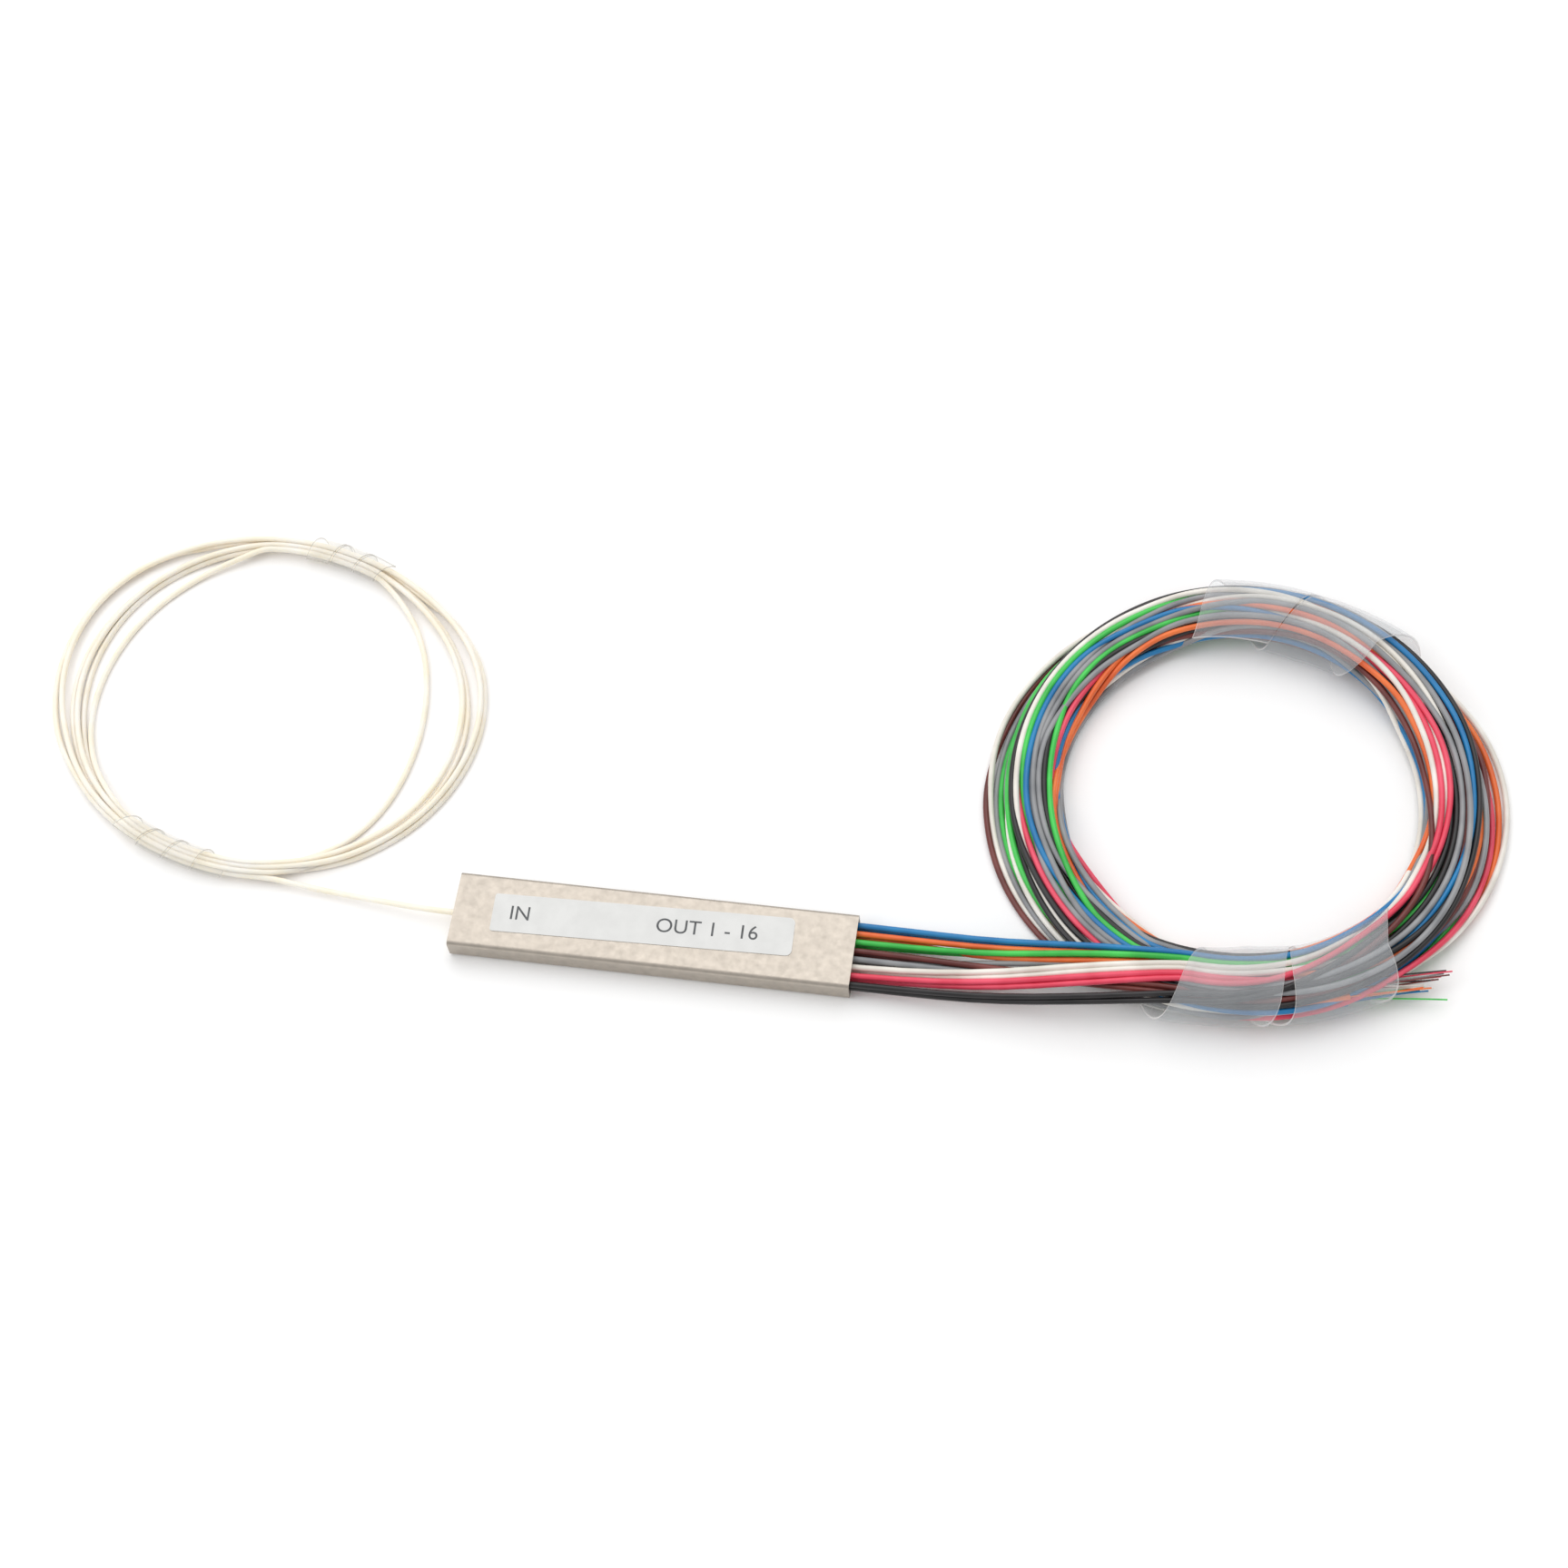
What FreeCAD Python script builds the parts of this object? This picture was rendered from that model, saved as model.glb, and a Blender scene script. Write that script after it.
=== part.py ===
import FreeCAD, Part
import math
import os

from FreeCAD import Vector

# A bare-fibre optical splitter in a steel tube: one fibre enters at the left end, a planar
# chip divides its light sixteen ways, and sixteen coloured tubes leave at the right end.
# Millimetres. +X runs along the tube towards the outputs, +Z is up, and the origin is at
# the middle of the tube's underside.

# --- steel tube ---
HOUSING_LENGTH = 60.0
HOUSING_WIDTH = 12.0
HOUSING_HEIGHT = 4.0
HOUSING_WALL = 0.5
HOUSING_CORNER = 0.7

# --- label ---
LABEL_LENGTH = 45.0
LABEL_WIDTH = 6.1
LABEL_THICKNESS = 0.1
LABEL_X = -1.6
LABEL_Y = 0.5
LABEL_TILT = 1.5
LABEL_RIGHT_CORNER = 0.9
LABEL_LEFT_CORNER = 0.4

# --- loose tubes and fibres ---
CORD_DIAMETER = 0.9
FIBRE_DIAMETER = 0.24
INNER_FIBRE_DIAMETER = 0.2
GLASS_DIAMETER = 0.125
OUTPUTS = 16
LAYERS = 2
LAYER_PITCH = 1.1

# --- end plugs, let in a little from the ends of the tube ---
PLUG_LENGTH = 4.0
PLUG_INSET = 0.4
PLUG_CLEARANCE = 0.02
BORE_CLEARANCE = 0.05
BORE_EDGE = 0.25
CORD_TAIL = 0.6

# --- splitter chip and the fibre arrays bonded to its two ends ---
PAD_THICKNESS = 0.4
PAD_LENGTH = 12.0
CHIP_LENGTH = 16.0
CHIP_WIDTH = 5.2
CHIP_THICKNESS = 1.0
CHIP_MIDDLE = -2.0
LID_THICKNESS = 1.0
GROOVE_LENGTH = 4.0
SHELF_LENGTH = 4.0
SHELF_DROP = 0.15
GROOVE_PITCH = 0.25
GROOVE_HALF_ANGLE = 30.0
GROOVE_CLEARANCE = 0.01
FAN_STRAIGHT = 2.0

# --- input coil: its inner and outer edges are two ellipses ---
# Places beside the tube are given outwards from its nearer end, and across it.
INPUT_CENTRE = (37.1, 32.4)
INPUT_OUTER = (36.1, 29.8)
INPUT_OUTER_TILT = -17.0
INPUT_INNER_SHIFT = 0.9
INPUT_INNER = (26.7, 26.0)
INPUT_HEIGHT = 1.9
INPUT_TIED_HEIGHT = 2.7
INPUT_TIED_WIDTH = 3.0
INPUT_LEAD = [
    # out, across, up
    (11.5, 0.8, 1.40),
    (19.5, 1.6, 0.85),
    (26.0, 2.3, 1.10),
]
INPUT_STRAIGHT = 3.2
INPUT_JOIN = 5.0

# --- spiral ties round the input coil ---
TIE_THICKNESS = 0.25
TIE_CLEARANCE = 0.25
UPPER_TIE = {"first": 62.0, "pitch": 8.6, "width": 7.6, "turns": 3.25}
LOWER_TIE = {"first": -124.0, "pitch": 8.8, "width": 7.8, "turns": 4.25}
TIE_START = 30.0

# --- output coil ---
OUTPUT_CENTRE = (53.6, 32.7)
OUTPUT_RADII = (26.3, 38.5)
OUTPUT_HEIGHT = 5.0
STRAY_REACH = 1.9
STRAY_ANGLE = 8.0
CROSSING_DIP = 1.3
OUTPUT_STRAIGHT = 5.0
LEAD_STATIONS = [
    # out, column pitch, middle across, middle up, layer pitch
    (20.0, 1.20, 0.10, 3.90, 1.00),
    (34.0, 1.05, 0.40, 5.85, 0.95),
    (47.0, 0.93, 1.00, 6.05, 0.92),
]
ENTRY = 45.0
ENTRY_LENGTH = 5.0
ENTRY_WIDTH = 7.6
ENTRY_FLOOR = 3.6
ENTRY_TOP = 7.05

# --- spiral wraps round the output coil ---
WRAP_THICKNESS = 0.4
WRAP_CLEARANCE = 0.35
WRAP_START = -60.0
LOWER_WRAP = {"first": -108.2, "pitch": 25.5, "width": 23.4, "turns": 2.0}
LOWER_WRAP_RADII = (26.9, 37.3)
LOWER_WRAP_HEIGHT = 8.0
UPPER_WRAP = {"first": 43.0, "pitch": 28.5, "width": 27.4, "turns": 2.0}
UPPER_WRAP_RADII = (26.8, 36.0)
UPPER_WRAP_HEIGHT = 7.2
WRAP_WAIST = 1.6

# --- stripped fibre ends, standing out of the lower wrap ---
TAIL_ANGLE = 13.0
TAIL_RADIUS = 32.6
TAIL_REACH = 10.2
TAIL_WIDTH = 3.4
TAIL_HEIGHT = 3.0
TAIL_Z = 4.4
FIBRE_END_ROWS = 4
FIBRE_END_PITCH = 0.72
FIBRE_END_LENGTHS = (12.0, 10.5, 13.4, 11.2, 9.6, 12.6, 10.9, 13.0)
FIBRE_END_FAN = 0.35

# --- how closely the flat facets follow the curves ---
RUN_SHARE = 0.45
CORD_SIDES = 8
FIBRE_SIDES = 6
RING_STATIONS = 36
SECTION_CORNERS = 12
BAND_ROWS = 4

END = HOUSING_LENGTH / 2
CAVITY_WIDTH = HOUSING_WIDTH - 2 * HOUSING_WALL
CAVITY_FLOOR = HOUSING_WALL
CAVITY_TOP = HOUSING_HEIGHT - HOUSING_WALL
CAVITY_CORNER = max(HOUSING_CORNER - HOUSING_WALL, 0.05)
MIDDLE_Z = HOUSING_HEIGHT / 2
BORE_DIAMETER = CORD_DIAMETER + 2 * BORE_CLEARANCE
COLUMNS = OUTPUTS // LAYERS
COLUMN_PITCH = (CAVITY_WIDTH - 2 * BORE_EDGE - BORE_DIAMETER) / (COLUMNS - 1)
CHIP_BASE = CAVITY_FLOOR + PAD_THICKNESS
OPTIC_Z = CHIP_BASE + CHIP_THICKNESS
ARRAY_LENGTH = GROOVE_LENGTH + SHELF_LENGTH
CORD_START = END - PLUG_INSET - PLUG_LENGTH - CORD_TAIL
INPUT_MIDDLE = Vector(-END - INPUT_CENTRE[0], INPUT_CENTRE[1], 0)
OUTPUT_MIDDLE = Vector(END + OUTPUT_CENTRE[0], OUTPUT_CENTRE[1], 0)

nodes = {}


# ---------------------------------------------------------------- small helpers

def bar(x0, x1, width, z0, z1, y=0.0):
    return Part.makeBox(x1 - x0, width, z1 - z0, Vector(x0, y - width / 2, z0))


def rounded_bar(x0, x1, width, z0, z1, radius):
    block = bar(x0, x1, width, z0, z1)
    along = [edge for edge in block.Edges if abs(edge.tangentAt(edge.FirstParameter).x) > 0.99]
    return block.makeFillet(radius, along)


def outward(solid):
    if solid.Volume < 0:
        solid.reverse()
    return solid


def cord_section(centre, direction, diameter, sides):
    """A cord's section drawn with flat sides, of the same area as its true circle."""
    share = 2 * math.pi / sides
    reach = diameter / 2 * math.sqrt(share / math.sin(share))
    turn = FreeCAD.Rotation(Vector(1, 0, 0), direction)
    corners = []
    for side in range(sides):
        way = (side + 0.5) * share
        corners.append(centre + turn.multVec(Vector(0, math.cos(way), math.sin(way))) * reach)
    return Part.Face(Part.makePolygon(corners + corners[:1]))


def tube_along(points, diameter, sides, name=None):
    """A cord on straight runs joined by arcs that are as large as the runs allow."""
    points = [Vector(*point) for point in points]
    edges = []
    start = points[0]
    radii = []
    for before, corner, after in zip(points, points[1:], points[2:]):
        into = (corner - before).normalize()
        out = (after - corner).normalize()
        half_turn = into.getAngle(out) / 2
        if half_turn < 1e-4:
            continue
        reach = RUN_SHARE * min((corner - before).Length, (after - corner).Length)
        radius = reach / math.tan(half_turn)
        bisector = (out - into).normalize()
        touch_in = corner - into * reach
        touch_out = corner + out * reach
        crown = corner + bisector * (radius / math.cos(half_turn) - radius)
        edges.append(Part.LineSegment(start, touch_in).toShape())
        edges.append(Part.Arc(touch_in, crown, touch_out).toShape())
        radii.append(radius)
        start = touch_out
    edges.append(Part.LineSegment(start, points[-1]).toShape())
    path = Part.Wire(edges)
    section = cord_section(points[0], points[1] - points[0], diameter, sides)
    solid = outward(path.makePipe(section))
    if name:
        wanted = path.Length * math.pi * diameter ** 2 / 4
        print("%s: length %.1f, smallest radius %.1f, volume %.3f of %.3f"
              % (name, path.Length, min(radii), solid.Volume, wanted))
    return solid


# ---------------------------------------------------------------- housing and label

def steel_tube():
    """One drawn and cut length of rectangular tube."""
    skin = rounded_bar(-END, END, HOUSING_WIDTH, 0, HOUSING_HEIGHT, HOUSING_CORNER)
    hollow = rounded_bar(-END, END, CAVITY_WIDTH, CAVITY_FLOOR, CAVITY_TOP, CAVITY_CORNER)
    return skin.cut(hollow)


def label():
    """A paper-thin sticker, laid slightly crooked, with rounder corners at its right end."""
    x0, x1 = -LABEL_LENGTH / 2, LABEL_LENGTH / 2
    sheet = bar(x0, x1, LABEL_WIDTH, 0, LABEL_THICKNESS)
    for end_x, radius in ((x0, LABEL_LEFT_CORNER), (x1, LABEL_RIGHT_CORNER)):
        corners = [edge for edge in sheet.Edges
                   if abs(edge.CenterOfMass.x - end_x) < 1e-6
                   and abs(edge.tangentAt(edge.FirstParameter).z) > 0.99]
        sheet = sheet.makeFillet(radius, corners)
    sheet.rotate(Vector(0, 0, 0), Vector(0, 0, 1), LABEL_TILT)
    sheet.translate(Vector(LABEL_X, LABEL_Y, HOUSING_HEIGHT))
    return sheet


# ---------------------------------------------------------------- ends of the tube

def output_seats():
    """Where the sixteen tubes leave, as columns and layers off the middle: far side first."""
    seats = []
    for column in range(COLUMNS):
        for layer in range(LAYERS):
            seats.append(((COLUMNS - 1) / 2 - column, layer - (LAYERS - 1) / 2))
    return seats


def seat_place(across, up):
    return across * COLUMN_PITCH, MIDDLE_Z + up * LAYER_PITCH


def end_plug(x0, bores):
    """The cast plug that holds the cords in one end of the tube."""
    floor, top = CAVITY_FLOOR + PLUG_CLEARANCE, CAVITY_TOP - PLUG_CLEARANCE
    width = CAVITY_WIDTH - 2 * PLUG_CLEARANCE
    plug = rounded_bar(x0, x0 + PLUG_LENGTH, width, floor, top, CAVITY_CORNER)
    holes = [Part.makeCylinder(BORE_DIAMETER / 2, PLUG_LENGTH, Vector(x0, y, z), Vector(1, 0, 0))
             for y, z in bores]
    return plug.cut(Part.makeCompound(holes))


# ---------------------------------------------------------------- chip and fibre arrays

def chip_end(direction):
    return CHIP_MIDDLE + direction * CHIP_LENGTH / 2


def array_bar(direction, start, length, z0, z1):
    """A block across the chip's full width, from start to start + length beyond its end."""
    x0, x1 = sorted(chip_end(direction) + direction * x for x in (start, start + length))
    return bar(x0, x1, CHIP_WIDTH, z0, z1)


def groove_cutter(direction, y):
    """A V groove that a bare glass fibre rests in, with its axis level with the face."""
    flank = math.radians(GROOVE_HALF_ANGLE)
    depth = (GLASS_DIAMETER / 2 + GROOVE_CLEARANCE) / math.sin(flank)
    half_width = depth * math.tan(flank)
    x = chip_end(direction)
    corners = [Vector(x, y - half_width, OPTIC_Z), Vector(x, y + half_width, OPTIC_Z),
               Vector(x, y, OPTIC_Z - depth)]
    face = Part.Face(Part.makePolygon(corners + corners[:1]))
    return face.extrude(Vector(direction * GROOVE_LENGTH, 0, 0))


def array_base(direction, groove_ys):
    """Grooved glass block with a shelf for the coated fibres behind the grooves."""
    block = array_bar(direction, 0, ARRAY_LENGTH, CHIP_BASE, OPTIC_Z)
    shelf = array_bar(direction, GROOVE_LENGTH, SHELF_LENGTH, OPTIC_Z - SHELF_DROP, OPTIC_Z)
    grooves = [groove_cutter(direction, y) for y in groove_ys]
    return block.cut(Part.makeCompound([shelf] + grooves))


def array_lid(direction):
    low = OPTIC_Z + GLASS_DIAMETER / 2 + GROOVE_CLEARANCE
    return array_bar(direction, 0, GROOVE_LENGTH, low, low + LID_THICKNESS)


def output_groove_y(index):
    return ((OUTPUTS - 1) / 2 - index) * GROOVE_PITCH


def inner_fibre(direction, groove_y, seat_y, seat_z):
    """Bare glass in its groove, then the coated length from the shelf out to its tube."""
    face = chip_end(direction)
    behind = face + direction * GROOVE_LENGTH
    shelf_end = face + direction * (ARRAY_LENGTH + FAN_STRAIGHT)
    glass = tube_along([(face, groove_y, OPTIC_Z), (behind, groove_y, OPTIC_Z)],
                       GLASS_DIAMETER, FIBRE_SIDES)
    coated = tube_along([(behind, groove_y, OPTIC_Z), (shelf_end, groove_y, OPTIC_Z),
                         (direction * (CORD_START + FIBRE_DIAMETER), seat_y, seat_z)],
                        INNER_FIBRE_DIAMETER, FIBRE_SIDES)
    x0, x1 = sorted((direction * CORD_START, direction * END))
    return glass.fuse(coated).cut(bar(x0, x1, CAVITY_WIDTH, CAVITY_FLOOR, CAVITY_TOP))


def fan_out_fibres():
    fibres = []
    for index, (across, up) in enumerate(output_seats()):
        fibres.append(inner_fibre(1, output_groove_y(index), *seat_place(across, up)))
    return Part.makeCompound(fibres)


# ---------------------------------------------------------------- coils

def plateau(angle, middle, half_span, fade):
    """1 within half_span of middle, easing to 0 over fade beyond it. Degrees."""
    away = abs((angle - middle + 180) % 360 - 180)
    if away <= half_span:
        return 1.0
    if away >= half_span + fade:
        return 0.0
    return 0.5 + 0.5 * math.cos(math.pi * (away - half_span) / fade)


def bundle_point(section, turn, offset=0.0):
    """A point round a bundle: turn 0 is its outer side, 90 degrees its top."""
    inner, outer, low, high = section
    half = (outer - inner) * 0.5
    across = math.cos(turn) * (half.Length + offset) / half.Length
    up = math.sin(turn) * ((high - low) / 2 + offset)
    place = (inner + outer) * 0.5 + half * across
    return Vector(place.x, place.y, (low + high) / 2 + up)


def triangle(a, b, c):
    return Part.Face(Part.makePolygon([a, b, c, a]))


def quad(a, b, c, d):
    return [triangle(a, b, c), triangle(a, c, d)]


def faceted(sections, closed):
    """A solid of flat facets through sections, each of them a list of its corners in turn."""
    faces = []
    followers = sections[1:] + (sections[:1] if closed else [])
    for near, far in zip(sections, followers):
        for corner in range(len(near)):
            faces += quad(near[corner - 1], near[corner], far[corner], far[corner - 1])
    for end in () if closed else (sections[0], sections[-1]):
        for row in range(len(end) // 2 - 1):
            faces += quad(end[row], end[row + 1], end[-2 - row], end[-1 - row])
    shell = Part.makeShell(faces)
    shell.sewShape()
    return outward(Part.Solid(shell))


def ring_solid(section_at):
    """The outer shape of a coil, through its sections all the way round."""
    sections = []
    for station in range(RING_STATIONS):
        section = section_at(360.0 * station / RING_STATIONS)
        sections.append([bundle_point(section, 2 * math.pi * step / SECTION_CORNERS)
                         for step in range(SECTION_CORNERS)])
    return faceted(sections, closed=True)


def spiral_band(section_at, shape, start_turn, thickness, waist=0.0):
    """A flat band wound round a bundle in open spiral turns, advancing round the coil."""
    steps = int(round(SECTION_CORNERS * shape["turns"]))
    sections = []
    for step in range(steps + 1):
        turned = shape["turns"] * step / steps
        turn = math.radians(start_turn + 360.0 * turned)
        middle = shape["first"] + shape["pitch"] * turned + shape["width"] / 2
        width = shape["width"] - waist * math.cos(turn)
        rows = [section_at(middle + width * (row / (BAND_ROWS - 1) - 0.5))
                for row in range(BAND_ROWS)]
        inside = [bundle_point(section, turn) for section in rows]
        outside = [bundle_point(section, turn, thickness) for section in reversed(rows)]
        sections.append(inside + outside)
    return faceted(sections, closed=False)


def polar(centre, radius, angle):
    way = math.radians(angle)
    return Vector(centre.x + radius * math.cos(way), centre.y + radius * math.sin(way), 0)


def ellipse_edge(centre, semi_axes, tilt, angle):
    """The point of an ellipse that lies in direction angle from its centre."""
    turned = math.radians(angle - tilt)
    reach = 1 / math.hypot(math.cos(turned) / semi_axes[0], math.sin(turned) / semi_axes[1])
    return polar(centre, reach, angle)


def near_band(angle, shape, margin, fade):
    """1 all along a band and margin beyond it, easing to 0 over fade. Degrees."""
    half_span = (shape["pitch"] * shape["turns"] + shape["width"]) / 2
    return plateau(angle, shape["first"] + half_span, half_span + margin, fade)


def input_section(angle):
    """Section of the input coil: fanned out at its sides, gathered where it is tied."""
    outer = ellipse_edge(INPUT_MIDDLE, INPUT_OUTER, INPUT_OUTER_TILT, angle)
    inner_middle = INPUT_MIDDLE - Vector(INPUT_INNER_SHIFT, 0, 0)
    inner = ellipse_edge(inner_middle, INPUT_INNER, 0.0, angle)
    tied = max(near_band(angle, tie, 8, 26) for tie in (UPPER_TIE, LOWER_TIE))
    gathered = outer + (inner - outer).normalize() * INPUT_TIED_WIDTH
    inner = inner * (1 - tied) + gathered * tied
    low = tied * (TIE_THICKNESS + TIE_CLEARANCE)
    high = low + INPUT_HEIGHT + tied * (INPUT_TIED_HEIGHT - INPUT_HEIGHT)
    return inner, outer, low, high


def tie_section(angle):
    inner, outer, low, high = input_section(angle)
    step = (outer - inner).normalize() * TIE_CLEARANCE
    return inner - step, outer + step, low - TIE_CLEARANCE, high + TIE_CLEARANCE


def input_route():
    points = [(-CORD_START, 0, MIDDLE_Z), (-END - INPUT_STRAIGHT, 0, MIDDLE_Z)]
    return points + [(-END - out, across, up) for out, across, up in INPUT_LEAD]


def input_coil():
    """Five and a half turns of one tube, with the short length where its lead joins."""
    end, before = (Vector(*point) for point in (input_route()[-1], input_route()[-2]))
    joined = end + (end - before).normalize() * INPUT_JOIN
    join = tube_along([end, joined], CORD_DIAMETER, CORD_SIDES)
    return ring_solid(input_section).fuse(join)


def lower_wrap_section(angle):
    inner, outer = (polar(OUTPUT_MIDDLE, radius, angle) for radius in LOWER_WRAP_RADII)
    return inner, outer, WRAP_THICKNESS, WRAP_THICKNESS + LOWER_WRAP_HEIGHT


def upper_wrap_section(angle):
    inner, outer = (polar(OUTPUT_MIDDLE, radius, angle) for radius in UPPER_WRAP_RADII)
    return inner, outer, WRAP_THICKNESS, WRAP_THICKNESS + UPPER_WRAP_HEIGHT


def output_section(angle):
    """Section of the output coil: a loose flat band of strands, gathered by its two wraps.

    It heaps up in the lower wrap, dips where the leads cross it and is parted for the tail,
    and its loosest strands stray outwards at its far side.
    """
    lower = near_band(angle, LOWER_WRAP, 6, 24)
    upper = near_band(angle, UPPER_WRAP, 6, 24)
    heaped = plateau(angle, -76, 4, 22)
    parted = plateau(angle, -57, 4, 14)
    crossed = plateau(angle, -122, 16, 8)
    strayed = plateau(angle, STRAY_ANGLE, 10, 20)
    inner, outer = OUTPUT_RADII
    inner += lower * (LOWER_WRAP_RADII[0] + WRAP_CLEARANCE - OUTPUT_RADII[0])
    inner += upper * (UPPER_WRAP_RADII[0] + WRAP_CLEARANCE - OUTPUT_RADII[0])
    outer -= lower * (OUTPUT_RADII[1] - LOWER_WRAP_RADII[1] + WRAP_CLEARANCE)
    outer -= upper * (OUTPUT_RADII[1] - UPPER_WRAP_RADII[1] + WRAP_CLEARANCE)
    outer -= parted * (TAIL_WIDTH + WRAP_CLEARANCE)
    outer += strayed * STRAY_REACH
    low = (lower + upper) * (WRAP_THICKNESS + WRAP_CLEARANCE)
    high = low + OUTPUT_HEIGHT - crossed * CROSSING_DIP
    high += heaped * (LOWER_WRAP_HEIGHT - 2 * WRAP_CLEARANCE - OUTPUT_HEIGHT)
    high += upper * (UPPER_WRAP_HEIGHT - 2 * WRAP_CLEARANCE - OUTPUT_HEIGHT)
    return polar(OUTPUT_MIDDLE, inner, angle), polar(OUTPUT_MIDDLE, outer, angle), low, high


def entry_block():
    middle = lead_point(0, 0, LEAD_STATIONS[-1])
    return bar(END + ENTRY, END + ENTRY + ENTRY_LENGTH, ENTRY_WIDTH,
               ENTRY_FLOOR, ENTRY_TOP, middle[1])


def tail_block():
    """The squared-off end of the bundle that the stripped fibres stand out of."""
    tail = bar(0, TAIL_REACH, TAIL_WIDTH, TAIL_Z - TAIL_HEIGHT / 2, TAIL_Z + TAIL_HEIGHT / 2,
               -TAIL_RADIUS)
    return to_tail(tail)


def to_tail(solid):
    solid.rotate(Vector(0, 0, 0), Vector(0, 0, 1), TAIL_ANGLE)
    solid.translate(OUTPUT_MIDDLE)
    return solid


def output_coil():
    """Four turns of sixteen strands, with the flat faces where leads enter and ends stop."""
    return ring_solid(output_section).fuse([entry_block(), tail_block()])


# ---------------------------------------------------------------- leads and fibre ends

def lead_point(across, up, station):
    out, column_pitch, middle_y, middle_z, layer_pitch = station
    return END + out, middle_y + across * column_pitch, middle_z + up * layer_pitch


def output_lead(across, up, name):
    """One output tube, from inside the end plug to the face of the coil's entry block."""
    seat_y, seat_z = seat_place(across, up)
    points = [(CORD_START, seat_y, seat_z), (END + OUTPUT_STRAIGHT, seat_y, seat_z)]
    points += [lead_point(across, up, station) for station in LEAD_STATIONS]
    return tube_along(points, CORD_DIAMETER, CORD_SIDES, name).cut(entry_block())


def fibre_end(index):
    """One stripped fibre, standing out of the end of its tube and fanned a little."""
    column, row = divmod(index, FIBRE_END_ROWS)
    columns = OUTPUTS // FIBRE_END_ROWS
    across = (column - (columns - 1) / 2) * FIBRE_END_PITCH
    up = (row - (FIBRE_END_ROWS - 1) / 2) * FIBRE_END_PITCH
    length = FIBRE_END_LENGTHS[index % len(FIBRE_END_LENGTHS)]
    start = Vector(TAIL_REACH, -TAIL_RADIUS + across, TAIL_Z + up)
    way = Vector(length, across * FIBRE_END_FAN, up * FIBRE_END_FAN)
    rooted = start - way * (FIBRE_DIAMETER / length)
    fibre = tube_along([rooted, start + way], FIBRE_DIAMETER, FIBRE_SIDES)
    return to_tail(fibre).cut(tail_block())


# ---------------------------------------------------------------- the assembly

nodes["steel_tube"] = steel_tube()
nodes["label"] = label()
nodes["input_end_plug"] = end_plug(-END + PLUG_INSET, [(0, MIDDLE_Z)])
output_bores = [seat_place(across, up) for across, up in output_seats()]
nodes["output_end_plug"] = end_plug(END - PLUG_INSET - PLUG_LENGTH, output_bores)

nodes["silicone_pad"] = bar(CHIP_MIDDLE - PAD_LENGTH / 2, CHIP_MIDDLE + PAD_LENGTH / 2,
                            CHIP_WIDTH, CAVITY_FLOOR, CHIP_BASE)
nodes["splitter_chip"] = bar(chip_end(-1), chip_end(1), CHIP_WIDTH, CHIP_BASE, OPTIC_Z)
nodes["chip_cover_glass"] = bar(chip_end(-1), chip_end(1), CHIP_WIDTH,
                                OPTIC_Z, OPTIC_Z + LID_THICKNESS)
nodes["input_array_base"] = array_base(-1, [0.0])
nodes["input_array_lid"] = array_lid(-1)
nodes["output_array_base"] = array_base(1, [output_groove_y(i) for i in range(OUTPUTS)])
nodes["output_array_lid"] = array_lid(1)
nodes["input_fibre"] = inner_fibre(-1, 0, 0, MIDDLE_Z)
nodes["fan_out_fibres"] = fan_out_fibres()

nodes["input_lead"] = tube_along(input_route(), CORD_DIAMETER, CORD_SIDES, "input_lead")
nodes["input_coil"] = input_coil()
nodes["input_tie_upper"] = spiral_band(tie_section, UPPER_TIE, TIE_START, TIE_THICKNESS)
nodes["input_tie_lower"] = spiral_band(tie_section, LOWER_TIE, TIE_START, TIE_THICKNESS)

for number, (across, up) in enumerate(output_seats(), start=1):
    lead_name = "output_lead_%02d" % number
    nodes[lead_name] = output_lead(across, up, lead_name)
nodes["output_coil"] = output_coil()
nodes["output_wrap_lower"] = spiral_band(
    lower_wrap_section, LOWER_WRAP, WRAP_START, WRAP_THICKNESS, WRAP_WAIST)
nodes["output_wrap_upper"] = spiral_band(
    upper_wrap_section, UPPER_WRAP, WRAP_START, WRAP_THICKNESS, WRAP_WAIST)

for number in range(OUTPUTS):
    nodes["fibre_end_%02d" % (number + 1)] = fibre_end(number)

os.makedirs("parts", exist_ok=True)
for node, shape in nodes.items():
    shape.exportStep("parts/%s.step" % node)
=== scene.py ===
import math
from itertools import permutations

import bmesh
import bpy
import numpy as np
from mathutils import Matrix, Vector


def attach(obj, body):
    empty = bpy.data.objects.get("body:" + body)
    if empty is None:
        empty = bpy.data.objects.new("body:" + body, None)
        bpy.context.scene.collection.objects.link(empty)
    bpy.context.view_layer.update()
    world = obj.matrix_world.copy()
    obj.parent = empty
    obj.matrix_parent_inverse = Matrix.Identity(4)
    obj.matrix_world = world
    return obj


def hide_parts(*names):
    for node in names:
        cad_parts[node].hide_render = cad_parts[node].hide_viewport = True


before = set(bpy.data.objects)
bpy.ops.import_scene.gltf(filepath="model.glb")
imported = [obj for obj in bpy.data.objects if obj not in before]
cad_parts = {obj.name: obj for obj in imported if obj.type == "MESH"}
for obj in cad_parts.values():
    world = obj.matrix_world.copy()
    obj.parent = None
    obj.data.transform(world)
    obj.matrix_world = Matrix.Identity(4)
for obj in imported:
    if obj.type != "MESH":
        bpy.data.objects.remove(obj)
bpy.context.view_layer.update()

# A bare-fibre optical splitter: a flat steel tube, one ivory tube coiled at its left, and
# sixteen coloured tubes at its right, wound into one bundle and held by two spiral wraps.
# Lengths here are in millimetres, in the frame of the CAD model, and become metres where
# a curve or a mesh is made.

MM = 0.001

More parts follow.
